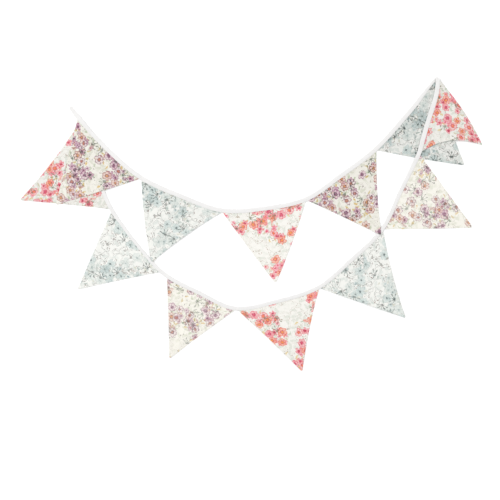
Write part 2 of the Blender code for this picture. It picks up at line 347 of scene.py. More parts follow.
def lay_pennant(stretch, row, lower, seed):
    """The pennant's middle surface in millimetres, and where each point lies on the flat cloth."""
    share = np.linspace(0.0, 1.0, STRIPS + 1)
    share = (1 - CROWDED) * share + CROWDED / 2 * (1 - np.cos(math.pi * share))
    along = stretch.starts[row["name"]] + share * row["width"]
    mouth = stretch.run.points(along)
    out = stretch.run.outward(along)
    slot = np.interp(along, stretch.marks, stretch.slot())
    way = unit(mouth[-1] - mouth[0])
    inward = np.array([way[1], -way[0]]) * stretch.run.edge_side
    point = (mouth[0] + mouth[-1]) / 2 + row["reach"] * inward + row["lean"] * way
    side_a, side_b = unit(point - mouth[0]), unit(point - mouth[-1])
    bow_a = unit(-way + side_a * np.dot(way, side_a)) * row["bow_a"]
    bow_b = unit(way - side_b * np.dot(way, side_b)) * row["bow_b"]
    tip = point + np.outer(share - 0.5, way) * TIP_WIDTH
    free_rows = np.arange(2.0, row["reach"] - 1.0, ROW_STEP)
    depths = np.concatenate([TUCKED_ROWS, free_rows, [row["reach"]]])

    grid = np.zeros((len(depths), STRIPS + 1, 3))
    cloth = np.zeros((len(depths), STRIPS + 1, 2))
    for index, depth in enumerate(depths):
        down = depth / row["reach"]
        cloth[index, :, 0] = (share - 0.5) * row["width"] * (1 - down) + (share - 0.5) * TIP_WIDTH * down
        cloth[index, :, 1] = -depth
        if depth <= 0:
            grid[index, :, :2] = mouth - depth * out
            grid[index, :, 2] = slot
            continue
        bulge = 4 * down * (1 - down)
        places = mouth * (1 - down) + tip * down
        places = places + np.outer(1 - share, bow_a) * bulge + np.outer(share, bow_b) * bulge
        settled = min(depth / EASE, 1.0)
        drop = 1 - settled * settled * (3 - 2 * settled)
        ridge = row["rise"] * math.sin(math.pi * down) * (1 - np.cos(2 * math.pi * row["ridges"] * share)) / 2
        loose = min(depth / LOOSE_FROM, 1.0)
        broad = np.array([ripple(x, y, BROAD_WAVE, seed) for x, y in places])
        fine = np.array([ripple(x, y, FINE_WAVE, seed + 7.0) for x, y in places])
        gathers = np.cos(2 * math.pi * along / PUCKER_LENGTH + PUCKER_SWAY * broad)
        pucker = gathers * math.exp(-depth / PUCKER_FADE) * loose
        edge = np.minimum(share * row["width"] * (1 - down), (1 - share) * row["width"] * (1 - down))
        seam = SEAM_RISE * np.clip((SEAM_ALLOWANCE + SEAM_STEP - edge) / SEAM_STEP, 0.0, 1.0) * loose
        ripples = loose * (BROAD_RISE * np.maximum(broad + BROAD_START, 0.0) + FINE_RISE * fine)
        height = (slot - CLOTH / 2) * drop + ridge * RIDGE_SHARE
        height = height + ripples + PUCKER_RISE * pucker + seam
        least = height_over(places, lower, GAP, REACH, SLOPE)
        grid[index, :, :2] = places
        grid[index, :, 2] = np.maximum(height, 0.0) + CLOTH / 2
        grid[index, :, 2] = np.maximum(grid[index, :, 2], least + CLOTH / 2)
    ease_folds(grid, lower, first=len(TUCKED_ROWS))
    return grid, cloth


def ease_folds(grid, lower, first, passes=3):
    """Round off the creases, without sinking into what lies below."""
    places = grid[:, :, :2].reshape(-1, 2)
    least = height_over(places, lower, GAP, 0.0, 1.0).reshape(grid.shape[:2]) + CLOTH / 2
    for _ in range(passes):
        height = np.pad(grid[:, :, 2], 1, mode="edge")
        eased = (height[:-2, 1:-1] + height[2:, 1:-1] + height[1:-1, :-2] + height[1:-1, 2:]) / 8
        eased = eased + height[1:-1, 1:-1] / 2
        grid[first:, :, 2] = np.maximum(eased, least)[first:]


def cloth_sheet(name, grid, flat_places, thickness, material):
    """A grid primitive moved to the given points, with its cloth map, thickness and pressed rim."""
    rows, columns = grid.shape[:2]
    shape = bmesh.new()
    bmesh.ops.create_grid(shape, x_segments=columns - 1, y_segments=rows - 1, size=0.5)
    chart = shape.loops.layers.uv.new("cloth")
    spot = {}
    for vertex in shape.verts:
        column = round((vertex.co.x + 0.5) * (columns - 1))
        row = round((vertex.co.y + 0.5) * (rows - 1))
        spot[vertex.index] = (row, column)
        x, y, z = grid[row, column]
        vertex.co = ((x + LAYOUT_SHIFT[0]) * MM, (y + LAYOUT_SHIFT[1]) * MM, z * MM)
    for face in shape.faces:
        for loop in face.loops:
            loop[chart].uv = flat_places[spot[loop.vert.index]] * MM
    mesh = bpy.data.meshes.new(name)
    shape.to_mesh(mesh)
    shape.free()
    mesh.shade_smooth()
    mesh.materials.append(material)
    piece = bpy.data.objects.new(name, mesh)
    solid = piece.modifiers.new("layers", "SOLIDIFY")
    solid.thickness = thickness * MM
    solid.offset = 0.0
    solid.use_even_offset = True
    rim = piece.modifiers.new("rim", "BEVEL")
    rim.width = thickness * RIM_SHARE * MM
    rim.segments = 2
    rim.limit_method = "ANGLE"
    rim.angle_limit = math.radians(60)
    scene.collection.objects.link(piece)
    return piece


first_rows = [dict(zip(COLUMNS, row)) for row in FIRST_PENNANTS]
second_rows = [dict(zip(COLUMNS, row)) for row in SECOND_PENNANTS]
first_run = Run(FIRST_RUN, 1)
used = sum(row["gap"] + row["width"] for row in first_rows)
first = Stretch(first_run, first_rows, first_run.length - used)
fold = fold_line(first, SECOND_RUN[0])
entry, way_in, _, across_fold = fold
past_fold = math.pi * TURN_RADIUS / np.dot(way_in, across_fold)
landing = rolled_over(entry + np.append(way_in * past_fold, 0.0), fold)
second = Stretch(Run((landing[:2],) + SECOND_RUN, -1), second_rows, LOOSE_STUB)
first.rest_on([second.top(second.starts["pennant_12"])], GAP + PROUD, TAPE_REACH, FIRST_SLOPE)
rows = {row["name"]: (first, row) for row in first_rows}
rows.update({row["name"]: (second, row) for row in second_rows})
tops = {"first": first.top()}
sheets = {}
for number, name in enumerate(LAID):
    if name == "second":
        landed = landing[2] - first.half[-1] - LEAF / 2
        second.bottom = np.maximum(landed - SECOND_FALL * second.marks, 0.0)
        below = [tops["pennant_05"], first.top(first.starts["pennant_05"])]
        second.rest_on(below, GAP + PROUD, TAPE_REACH, SECOND_SLOPE)
        tops["second"] = second.top()
        continue
    stretch, row = rows[name]
    grid, cloth = lay_pennant(stretch, row, [tops[piece] for piece in row["over"]], number * SEED_STEP)
    right, up, turned = row["cut"]
    cos, sin = math.cos(math.radians(turned)), math.sin(math.radians(turned))
    sheets[name] = (grid, cloth @ np.array([[cos, sin], [-sin, cos]]) + (right, up))
    tops[name] = grid.reshape(-1, 3) + (0.0, 0.0, CLOTH / 2)


# The printing on the pennants. The cloth is a plain weave of fine bleached cotton, screen printed
# on an ivory ground in three colourings: bunches of open flowers drawn in outline, small stars,
# buds, loose leaves, berries on thin stems and dark fans of stalks. The ink sinks in matt.

YARN = 0.5             # real yarns lie 0.35 mm apart, and are drawn coarser to show close up
SLUB = 0.6             # a thick place in a yarn
BUNCH = 54.0           # from one bunch of flowers to the next
THIN_TO = 600.0        # how far up the bolt the printing is thin
FULL_FROM = 1200.0     # and from where it is full
BLOT = 9.0
WASH = 2.5
WANDER_LENGTH = 6.2    # a drawn line goes off its way about once in this length
WANDER = 5.5           # by a millimetre or so, as the noise keeps near its middle
STEM_BENDS = 20.0
STEM_SLOPE = 0.024     # how fast the field that the stems are drawn from changes in a millimetre
BERRY_SPACING = 5.2
BERRY_KIND = 5
SMOOTH = {"interpolation_type": "SMOOTHSTEP"}
FLAT_NOISE = {"noise_dimensions": "2D"}
MOTIFS = (             # from the lowest ink to the topmost: kind, shape, spacing and sizes
    ("pale", "leaf", 15.0, {"Length": 8.0, "Width": 3.2}),
    ("leaf", "leaf", 11.0, {"Length": 5.4, "Width": 2.1}),
    ("bud", "leaf", 25.0, {"Length": 7.5, "Width": 3.4}),
    ("star", "blossom", 22.0, {"Least": 7.0, "Most": 9.0, "Petals": 5.0, "Notch": 0.62}),
    ("small", "blossom", 16.0, {"Least": 4.6, "Most": 6.2, "Petals": 5.0, "Notch": 0.3}),
    ("flower", "blossom", 24.0, {"Least": 8.6, "Most": 11.4, "Petals": 6.0, "Notch": 0.3}),
    ("fan", "fan", 31.0, {"Length": 14.0}),
)
COLOURINGS = {
    "purple": {
        "ground": "F4F1E8", "shade": "DADBCA", "stem": "9C9088", "stem_width": 0.5, "berry": "74656C",
        "softness": 0.3, "eye_size": 0.32, "grown": 1.0, "faded": 0.66,
        "leaf": {"Body": ("D9B14A", "B2BE9E", "C9AE62")},
        "bud": {"Body": ("CDA79D", "D3B3AE", "C89C92"), "Vein": ("93545F",)},
        "star": {"Body": ("C896B2",), "Line": ("94486F",), "Eye": ("5E2C4C",)},
        "small": {"Body": ("EBD2DA", "E0BBC9", "EBD5D7"), "Line": ("8F5275",),
                  "Eye": ("7B4866", "C0704A", "8F5275")},
        "flower": {"Body": ("F2E2E0", "E9CDD5", "EFCEC3"), "Line": ("7D3F65", "8A456D", "98504F"),
                   "Eye": ("C0704A", "7B4866", "D89450"), "Ring": ("652F52",)},
        "fan": {"Body": ("46544A",)},
        "share": {"flower": 0.66, "small": 0.87, "star": 0.82, "bud": 0.77, "leaf": 0.69, "pale": 0.54,
                  "berry": 0.90, "fan": 0.62},
    },
    "blue": {
        "ground": "F1F1EC", "shade": "DADFDA", "stem": "6C6B66", "stem_width": 1.2, "berry": "8F736C",
        "softness": 3.2, "eye_size": 0.2, "grown": 1.25, "faded": 0.86,
        "leaf": {"Body": ("C6CFC9", "A6B3AC", "D3D2C2")},
        "bud": {"Body": ("CBD2CC", "D6CFC8", "C6CECA"), "Vein": ("7C8884",)},
        "star": {"Body": ("C9D5D3",), "Line": ("A6B5B3",), "Eye": ("4C5A5D",)},
        "small": {"Body": ("D6E0DF", "C8D6D5", "E0E6E2"), "Line": ("A3B3B3",),
                  "Eye": ("A3B3B3", "4C5A5D", "A98C84")},
        "flower": {"Body": ("D0DCD9", "E2E7E2", "C3D1CF"), "Line": ("A9B7B4", "B2C0BC", "87938F"),
                   "Eye": ("4A575A", "A9B5B2", "87948F")},
        "fan": {"Body": ("4A5350",)},
        "share": {"flower": 0.60, "small": 0.80, "star": 0.88, "bud": 0.82, "leaf": 0.70, "pale": 0.50,
                  "berry": 0.76, "fan": 0.66},
    },
    "coral": {
        "ground": "F4F2EC", "shade": "DDE0D6", "stem": "AC9D88", "stem_width": 0.6, "berry": "A38373",
        "softness": 0.8, "eye_size": 0.34, "grown": 1.0, "faded": 0.95,
        "leaf": {"Body": ("E3C67B", "C0C9B7", "D2C6A6")},
        "bud": {"Body": ("F2B3A3", "F3BDB0", "EFA996"), "Vein": ("D4626A",)},
        "star": {"Body": ("F29CA6",), "Line": ("E2536C",), "Eye": ("BE3452",)},
        "small": {"Body": ("F6BDC6", "F4A8AF", "F8CDCD"), "Line": ("E2607A",),
                  "Eye": ("DE4A66", "F08A4A", "D04460")},
        "flower": {"Body": ("F7C6C2", "F4AAAF", "F6B299"), "Line": ("E4576C", "E56A7C", "E25D50"),
                   "Eye": ("EE7F45", "D24463", "EE9A48"), "Ring": ("C8406A",)},
        "fan": {"Body": ("7F7A62",)},
        "share": {"flower": 0.68, "small": 0.82, "star": 0.69, "bud": 0.83, "leaf": 0.72, "pale": 0.52,
                  "berry": 0.88, "fan": 0.78},
    },
}


def group(name, takes, gives):
    """An empty node group with sockets of each kind, what it is given, and the node for its results."""
    tree = bpy.data.node_groups.new(name, "ShaderNodeTree")
    for way, kinds in (("INPUT", takes), ("OUTPUT", gives)):
        for kind, sockets in kinds.items():
            for socket in sockets.split():
                tree.interface.new_socket(socket, in_out=way, socket_type="NodeSocket" + kind)
    return tree, tree.nodes.new("NodeGroupInput").outputs, tree.nodes.new("NodeGroupOutput")


def own_shift(colouring, kind):
    """How far the cells of a kind of motif are moved, so that no two kinds fall alike."""
    return 50.0 * colouring + 311.0 * kind, 35.0 * colouring - 173.0 * kind, 0.0


def plain_weave(tree, place):
    """Which yarn of a plain weave lies on top at a place in millimetres, from -1 to 1."""
    xy = add(tree, "SeparateXYZ", {0: place})
    warp = add(tree, "Math", {0: xy.outputs["X"], 1: math.pi / YARN}, operation="MULTIPLY")
    weft = add(tree, "Math", {0: xy.outputs["Y"], 1: math.pi / YARN}, operation="MULTIPLY")
    warp_wave = add(tree, "Math", {0: warp}, operation="SINE")
    weft_wave = add(tree, "Math", {0: weft}, operation="SINE")
    return add(tree, "Math", {0: warp_wave, 1: weft_wave}, operation="MULTIPLY")


# In the groups below, lengths are in millimetres, and a Map Range eases from its sockets 1 and 2
# to its sockets 3 and 4, which are 0 and 1 unless they are given.

# One ink laid over what is already on the cloth, where its motif covers it and is present.
laid_ink, given, result = group(
    "laid_ink", {"Color": "Under Ink", "Float": "Cover Present Strength"}, {"Color": "Colour"})
covered = add(laid_ink, "Math", {0: given["Cover"], 1: given["Present"]}, operation="MULTIPLY")
amount = add(laid_ink, "Math", {0: covered, 1: given["Strength"]}, operation="MULTIPLY")
mixed = add(laid_ink, "Mix", {0: amount, 6: given["Under"], 7: given["Ink"]}, data_type="RGBA")
fill(laid_ink, result, {"Colour": mixed.outputs[2]})

# One of three inks, by the motif's own luck.
chosen_ink, given, result = group(
    "chosen_ink", {"Float": "Luck", "Color": "First Second Third"}, {"Color": "Ink"})
past_one = add(chosen_ink, "Math", {0: given["Luck"], 1: 1 / 3}, operation="GREATER_THAN")
past_two = add(chosen_ink, "Math", {0: given["Luck"], 1: 2 / 3}, operation="GREATER_THAN")
mixed = add(chosen_ink, "Mix", {0: past_one, 6: given["First"], 7: given["Second"]}, data_type="RGBA")
mixed = add(chosen_ink, "Mix", {0: past_two, 6: mixed.outputs[2], 7: given["Third"]}, data_type="RGBA")
fill(chosen_ink, result, {"Ink": mixed.outputs[2]})

# Where the motifs of one kind fall. Each cell has one, turned its own way. The bunches are the
# same for every kind, and a motif outside them is left out, more so where the printing is thin.
scattered, given, result = group(
    "scattered", {"Vector": "Place Shift", "Float": "Spacing Share"},
    {"Vector": "Local Centre", "Float": "Present Luck Chance"})
moved = add(scattered, "VectorMath", {0: given["Place"], 1: given["Shift"]}, operation="ADD")
scale = add(scattered, "Math", {0: 1.0, 1: given["Spacing"]}, operation="DIVIDE")
cells = add(scattered, "TexVoronoi", {"Vector": moved, "Scale": scale, "Randomness": 0.7},
            voronoi_dimensions="2D")
local = add(scattered, "VectorMath", {0: moved, 1: cells.outputs["Position"]}, operation="SUBTRACT")
centre = add(scattered, "VectorMath", {0: cells.outputs["Position"], 1: given["Shift"]}, operation="SUBTRACT")
luck = add(scattered, "SeparateColor", {"Color": cells.outputs["Color"]})
angle = add(scattered, "Math", {0: luck.outputs["Red"], 1: math.tau}, operation="MULTIPLY")
turned = add(scattered, "VectorRotate", {"Vector": local, "Angle": angle}, rotation_type="Z_AXIS")
crowd = add(scattered, "TexNoise", {"Vector": centre, "Scale": 1.0 / BUNCH, "Detail": 0.0}, **FLAT_NOISE)
stray = add(scattered, "Math", {0: luck.outputs["Green"], 1: 0.34, 2: crowd}, operation="MULTIPLY_ADD")
bolt = add(scattered, "SeparateXYZ", {0: centre})
fullness = add(scattered, "MapRange", {0: bolt.outputs["Y"], 1: THIN_TO, 2: FULL_FROM, 3: 0.0, 4: 0.14})
wanted = add(scattered, "Math", {0: stray, 1: fullness}, operation="ADD")
present = add(scattered, "Math", {0: wanted, 1: given["Share"]}, operation="GREATER_THAN")
fill(scattered, result, {"Local": turned, "Present": present, "Centre": centre,
                         "Luck": luck.outputs["Red"], "Chance": luck.outputs["Blue"]})

# One flower seen from the front. Its petals have an inked outline and fine streaks toward the eye.
blossom, given, result = group(
    "blossom", {"Vector": "Local", "Float": "Luck Chance Least Most Petals Notch Eye Softness"},
    {"Float": "Body Line Eye Ring"})
radius = add(blossom, "MapRange", {0: given["Chance"], 3: given["Least"], 4: given["Most"]})
xyz = add(blossom, "SeparateXYZ", {0: given["Local"]})
heading = add(blossom, "Math", {0: xyz.outputs["Y"], 1: xyz.outputs["X"]}, operation="ARCTAN2")
distance = add(blossom, "VectorMath", {0: given["Local"]}, operation="LENGTH").outputs["Value"]
half_petals = add(blossom, "Math", {0: given["Petals"], 1: 0.5}, operation="MULTIPLY")
phase = add(blossom, "Math", {0: heading, 1: half_petals}, operation="MULTIPLY")
wave = add(blossom, "Math", {0: phase}, operation="COSINE")
lobe = add(blossom, "Math", {0: wave}, operation="ABSOLUTE")
rounded = add(blossom, "Math", {0: lobe, 1: 0.6}, operation="POWER")
waist = add(blossom, "Math", {0: 1.0, 1: given["Notch"]}, operation="SUBTRACT")
reach = add(blossom, "Math", {0: rounded, 1: given["Notch"], 2: waist}, operation="MULTIPLY_ADD")
edge = add(blossom, "Math", {0: reach, 1: radius}, operation="MULTIPLY")
inside = add(blossom, "Math", {0: edge, 1: distance}, operation="SUBTRACT")
body = add(blossom, "MapRange", {0: inside, 1: -0.2, 2: given["Softness"]}, **SMOOTH)
rim_share = add(blossom, "Math", {0: inside, 1: radius}, operation="DIVIDE")
outline = add(blossom, "MapRange", {0: rim_share, 1: 0.12, 2: 0.23, 3: 1.0, 4: 0.0}, **SMOOTH)
off_cleft = add(blossom, "Math", {0: lobe, 1: distance}, operation="MULTIPLY")
cleft = add(blossom, "MapRange", {0: off_cleft, 1: 0.7, 2: 2.1, 3: 0.9, 4: 0.0}, **SMOOTH)
depth = add(blossom, "Math", {0: distance, 1: radius}, operation="DIVIDE")
streak_wave = add(blossom, "Math", {0: phase, 1: 8.0}, operation="MULTIPLY")
streaks = add(blossom, "Math", {0: streak_wave}, operation="COSINE")
streak_fade = add(blossom, "MapRange", {0: depth, 1: 0.25, 2: 0.75, 3: 0.6, 4: 0.0})
streak = add(blossom, "Math", {0: streaks, 1: streak_fade}, operation="MULTIPLY")
line = add(blossom, "Math", {0: outline, 1: cleft}, operation="MAXIMUM")
line = add(blossom, "Math", {0: line, 1: streak}, operation="MAXIMUM")
line = add(blossom, "Math", {0: line, 1: body}, operation="MULTIPLY")
from_eye = add(blossom, "Math", {0: depth, 1: given["Eye"]}, operation="DIVIDE")
eye = add(blossom, "MapRange", {0: from_eye, 1: 0.8, 2: 1.1, 3: 1.0, 4: 0.0}, **SMOOTH)
ring = add(blossom, "Math", {0: from_eye, 1: 1.05, 2: 0.2}, operation="COMPARE")
fill(blossom, result, {"Body": body, "Line": line, "Eye": eye, "Ring": ring})

# A leaf or bud: two long halves about a vein, pointed at both ends and curved a little.
leaf_shape, given, result = group(
    "leaf_shape", {"Vector": "Local", "Float": "Length Width"}, {"Float": "Body Vein"})
xyz = add(leaf_shape, "SeparateXYZ", {0: given["Local"]})
along = add(leaf_shape, "Math", {0: xyz.outputs["X"], 1: given["Length"]}, operation="DIVIDE")
squared = add(leaf_shape, "Math", {0: along, 1: along}, operation="MULTIPLY")
bend = add(leaf_shape, "Math", {0: squared, 1: -1.6, 2: xyz.outputs["Y"]}, operation="MULTIPLY_ADD")
off = add(leaf_shape, "Math", {0: bend}, operation="ABSOLUTE")
belly = add(leaf_shape, "Math", {0: 1.0, 1: squared}, operation="SUBTRACT")
half_width = add(leaf_shape, "Math", {0: belly, 1: given["Width"]}, operation="MULTIPLY")
inside = add(leaf_shape, "Math", {0: half_width, 1: off}, operation="SUBTRACT")
body = add(leaf_shape, "MapRange", {0: inside, 1: -0.15, 2: 0.45}, **SMOOTH)
vein = add(leaf_shape, "MapRange", {0: off, 1: 0.15, 2: 0.6, 3: 1.0, 4: 0.0}, **SMOOTH)
inner = add(leaf_shape, "Math", {0: vein, 1: body}, operation="MULTIPLY")
fill(leaf_shape, result, {"Body": body, "Vein": inner})

# A fan of thin stalks that swell at their ends.
seed_fan, given, result = group("seed_fan", {"Vector": "Local", "Float": "Length"}, {"Float": "Body"})
xyz = add(seed_fan, "SeparateXYZ", {0: given["Local"]})
distance = add(seed_fan, "VectorMath", {0: given["Local"]}, operation="LENGTH").outputs["Value"]
heading = add(seed_fan, "Math", {0: xyz.outputs["Y"], 1: xyz.outputs["X"]}, operation="ARCTAN2")
phase = add(seed_fan, "Math", {0: heading, 1: 4.5}, operation="MULTIPLY")
wave = add(seed_fan, "Math", {0: phase}, operation="SINE")
spread = add(seed_fan, "Math", {0: wave}, operation="ABSOLUTE")
off = add(seed_fan, "Math", {0: spread, 1: distance}, operation="MULTIPLY")
off_stalk = add(seed_fan, "Math", {0: off, 1: 0.22}, operation="MULTIPLY")
share = add(seed_fan, "Math", {0: distance, 1: given["Length"]}, operation="DIVIDE")
swell = add(seed_fan, "MapRange", {0: share, 1: 0.6, 2: 0.84, 3: 0.55, 4: 1.05}, **SMOOTH)
inside = add(seed_fan, "Math", {0: swell, 1: off_stalk}, operation="SUBTRACT")
stalk = add(seed_fan, "MapRange", {0: inside, 1: -0.12, 2: 0.15}, **SMOOTH)
ends = add(seed_fan, "MapRange", {0: share, 1: 0.88, 2: 1.0, 3: 1.0, 4: 0.0}, **SMOOTH)
front = add(seed_fan, "MapRange", {0: xyz.outputs["X"], 1: -2.6, 2: -1.4})
fan = add(seed_fan, "Math", {0: stalk, 1: ends}, operation="MULTIPLY")
body = add(seed_fan, "Math", {0: fan, 1: front}, operation="MULTIPLY")
fill(seed_fan, result, {"Body": body})

SHAPES = {"leaf": leaf_shape, "blossom": blossom, "fan": seed_fan}
prints = {}

# Thin cotton, woven plain, bleached and screen printed. It looks dry and matt, a little downy along
# its folds, and its weave shows through the thin ink, as relief and as painted shade where the yarns dip.
for shift, (name, inks) in enumerate(COLOURINGS.items(), start=1):
    prints[name], tree, shader = new_material("printed_cotton_" + name)
    chart = add(tree, "UVMap", {}, uv_map="cloth")
    place = add(tree, "VectorMath", {0: chart, "Scale": 1 / MM}, operation="SCALE")

    # A drawn line wanders by a millimetre or so, and each ink is washed in unevenly.
    hand = add(tree, "TexNoise", {"Vector": place, "Scale": 1 / WANDER_LENGTH, "Detail": 2.0}, **FLAT_NOISE)
    centred = add(tree, "VectorMath", {0: hand.outputs["Color"], 1: (0.5, 0.5, 0.5)}, operation="SUBTRACT")
    wander = add(tree, "VectorMath", {0: centred, "Scale": WANDER}, operation="SCALE")
    drawn = add(tree, "VectorMath", {0: place, 1: wander}, operation="ADD")
    wash = add(tree, "TexNoise", {"Vector": place, "Scale": 1 / WASH, "Detail": 3.0}, **FLAT_NOISE)
    uneven = add(tree, "MapRange", {0: wash, 1: 0.3, 2: 0.65, 3: 0.5, 4: 1.0})
    xy = add(tree, "SeparateXYZ", {0: place})
    left = add(tree, "MapRange", {0: xy.outputs["Y"], 1: THIN_TO, 2: FULL_FROM, 3: inks["faded"], 4: 1.0})
    strength = add(tree, "Math", {0: uneven, 1: left}, operation="MULTIPLY")

    # The ground has a faint tint in broad blots, and thin stems with berries beside them.
    blot = add(tree, "TexNoise", {"Vector": drawn, "Scale": 1 / BLOT, "Detail": 3.0}, **FLAT_NOISE)
    mottle = add(tree, "MapRange", {0: blot, 1: 0.48, 2: 0.68, 3: 0.0, 4: 0.42})
    colour = add(tree, "Group", {"Under": linear(inks["ground"]), "Ink": linear(inks["shade"]),
                                 "Cover": mottle, "Present": 1.0, "Strength": 1.0}, node_tree=laid_ink)
    bends = add(tree, "TexNoise", {"Vector": drawn, "Scale": 1 / STEM_BENDS, "Detail": 1.0}, **FLAT_NOISE)
    for level in (0.5, 0.4):
        near = add(tree, "Math", {0: bends, 1: level, 2: inks["stem_width"] / 2 * STEM_SLOPE},
                   operation="COMPARE")
        colour = add(tree, "Group", {"Under": colour, "Ink": linear(inks["stem"]), "Cover": near,
                                     "Present": 0.8, "Strength": strength}, node_tree=laid_ink)
    spots = add(tree, "Group", {"Place": drawn, "Shift": own_shift(shift, BERRY_KIND),
                                "Spacing": BERRY_SPACING, "Share": inks["share"]["berry"]},
                node_tree=scattered)
    stem = add(tree, "TexNoise", {"Vector": spots.outputs["Centre"], "Scale": 1 / STEM_BENDS, "Detail": 1.0},
               **FLAT_NOISE)
    beside = add(tree, "Math", {0: stem, 1: 0.5, 2: 1.25 * STEM_SLOPE}, operation="COMPARE")
    chosen = add(tree, "Math", {0: beside, 1: spots.outputs["Present"]}, operation="MAXIMUM")
    far = add(tree, "VectorMath", {0: spots}, operation="LENGTH").outputs["Value"]
    dot = add(tree, "MapRange", {0: far, 1: 0.8, 2: 1.35, 3: 1.0, 4: 0.0}, **SMOOTH)
    kept = add(tree, "Math", {0: spots.outputs["Luck"], 1: 0.45}, operation="GREATER_THAN")
    sparse = add(tree, "Math", {0: kept, 1: 0.8}, operation="MULTIPLY")
    colour = add(tree, "Group", {"Under": colour, "Ink": linear(inks["berry"]), "Cover": dot,
                                 "Present": chosen, "Strength": sparse}, node_tree=laid_ink)

    for number, (kind, shape, spacing, sizes) in enumerate(MOTIFS, start=1):
        spots = add(tree, "Group", {"Place": drawn, "Spacing": spacing, "Share": inks["share"][kind],
                                    "Shift": own_shift(shift, number)}, node_tree=scattered)
        motif = add(tree, "Group", {"Local": spots, **sizes}, node_tree=SHAPES[shape])
        if shape == "blossom":
            fill(tree, motif, {"Eye": inks["eye_size"], "Softness": inks["softness"],
                               "Luck": spots.outputs["Luck"], "Chance": spots.outputs["Chance"]})
        if kind == "flower":
            motif.inputs["Least"].default_value *= inks["grown"]
            motif.inputs["Most"].default_value *= inks["grown"]
        for part, codes in inks.get(kind, {"Body": (inks["shade"],)}).items():
            ink = add(tree, "Group", {"Luck": spots.outputs["Luck"], "First": linear(codes[0]),
                                      "Second": linear(codes[len(codes) // 2]), "Third": linear(codes[-1])},
                      node_tree=chosen_ink)
            colour = add(tree, "Group", {"Under": colour, "Ink": ink, "Cover": motif.outputs[part],
                                         "Present": spots.outputs["Present"], "Strength": strength},
                         node_tree=laid_ink)

    # The weave shows as relief, and as painted shade a little darker where its yarns dip. The cloth is darker
    # all over the further up the bolt it was cut.
    over = plain_weave(tree, place)
    slub = add(tree, "TexNoise", {"Vector": place, "Scale": 1 / SLUB, "Detail": 3.0}, **FLAT_NOISE)
    lift = add(tree, "Math", {0: over, 1: 0.5, 2: slub}, operation="MULTIPLY_ADD")
    relief = add(tree, "Bump", {"Height": lift, "Strength": 0.35, "Distance": 0.12 * MM})
    # The whole cloth, ground included, is darker the further up the bolt it was cut.
    darker_up_the_bolt = add(tree, "MapRange", {0: xy.outputs["Y"], 1: THIN_TO, 2: FULL_FROM, 3: 0.935, 4: 0.815})
    # Painted shade: the colour is a little darker where the yarns dip.
    painted_weave_shade = add(tree, "MapRange", {0: lift, 1: 0.0, 2: 1.1, 3: 0.93, 4: 1.0})
    weave_shade_and_bolt_tone = add(tree, "Math", {0: darker_up_the_bolt, 1: painted_weave_shade}, operation="MULTIPLY")
    tone = add(tree, "VectorMath", {0: colour, "Scale": weave_shade_and_bolt_tone}, operation="SCALE")
    fill(tree, shader, {"Normal": relief, "Base Color": tone, "Roughness": 0.88, "IOR": 1.5,
                        "Specular IOR Level": 0.25, "Sheen Weight": 0.08})

for name, (grid, flat_places) in sheets.items():
    row = rows[name][1]
    piece = cloth_sheet(name + "_cloth", grid, flat_places, CLOTH, prints[row["print"]])
    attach(piece, "root")
    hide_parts(name)


# The binding tape. White plain-woven cotton cut on the bias, so that it lies flat round the
# curves. Both raw edges are turned in, it is folded over the pennants' open edges, and it runs on
# past them as a short loose end, where nothing holds it open.

TAPE_END_WIDTH = 7.5
WIDTH_WAVER, WAVER_LENGTH = 0.3, 26.0
# How far the mouth is drawn back from its line at each mark, because the tape was sewn on unevenly.
FIRST_BACK = ((0, 0.8), (300, 0.8), (420, 1.3), (560, 1.1), (700, 0.8), (925, 0.8), (975, 4.2),
              (1000, 4.2))
TURN_BACK = (4.2, 1.5)
SECOND_BACK = ((0, 1.5), (12, 0.3), (130, 0.0), (220, 1.6), (540, 2.2), (740, 2.0), (925, 1.9), (950, 3.2),
               (1065, 3.2), (1085, 1.8), (1310, 1.8))
END_TAPER = 28.0
TURN_STEPS = 26
TURN_LEAD = 4.2       # the folded edge starts to roll this far before the mouth does
BEND_POINTS = 7
FLAT_SHARE = 0.75     # how much of its width a leaf runs flat before the folded edge
PUFF, PUFF_WAVE, PUFF_LENGTH = 0.16, 0.14, 14.0   # how far the leaf that faces up puffs
TURNED_IN = 4.6       # how far the turned-in raw edge reaches from the mouth
TURNED_IN_MOST = 0.55  # and at most this share of the leaf, where the tape is narrow
STITCH_LINE = 1.5     # from the mouth
STITCH_PITCH = 3.2
TAPE_WHITE = "E3E2E1"
TAPE_SLUB = 5 / 6     # its yarns are a little coarser than the pennants'
DUST = 20.0
UP = np.array((0.0, 0.0, 1.0))


def tape_sections(stretch, up, backs, loose_end):
    """The folded tape at each mark: place, outward, up, half opening, width, and how much it puffs."""
    taper = np.clip(stretch.marks / END_TAPER, 0.0, 1.0) if loose_end else np.ones(len(stretch.marks))
    drawn_back = np.interp(stretch.marks, *zip(*backs)) * taper
    sections = []
    for mark, mouth, out, height, half, grown, back in zip(
            stretch.marks, stretch.mouth, stretch.out, stretch.slot(), stretch.half, taper, drawn_back):
        waver = WIDTH_WAVER * ripple(mark, 0.0, WAVER_LENGTH, up[2])
        width = TAPE_END_WIDTH + (TAPE_WIDTH - TAPE_END_WIDTH) * grown + waver
        place = np.append(mouth + out * back, height)
        sections.append((place, np.append(out, 0.0), up, half, width - back, 1.0))
    return sections


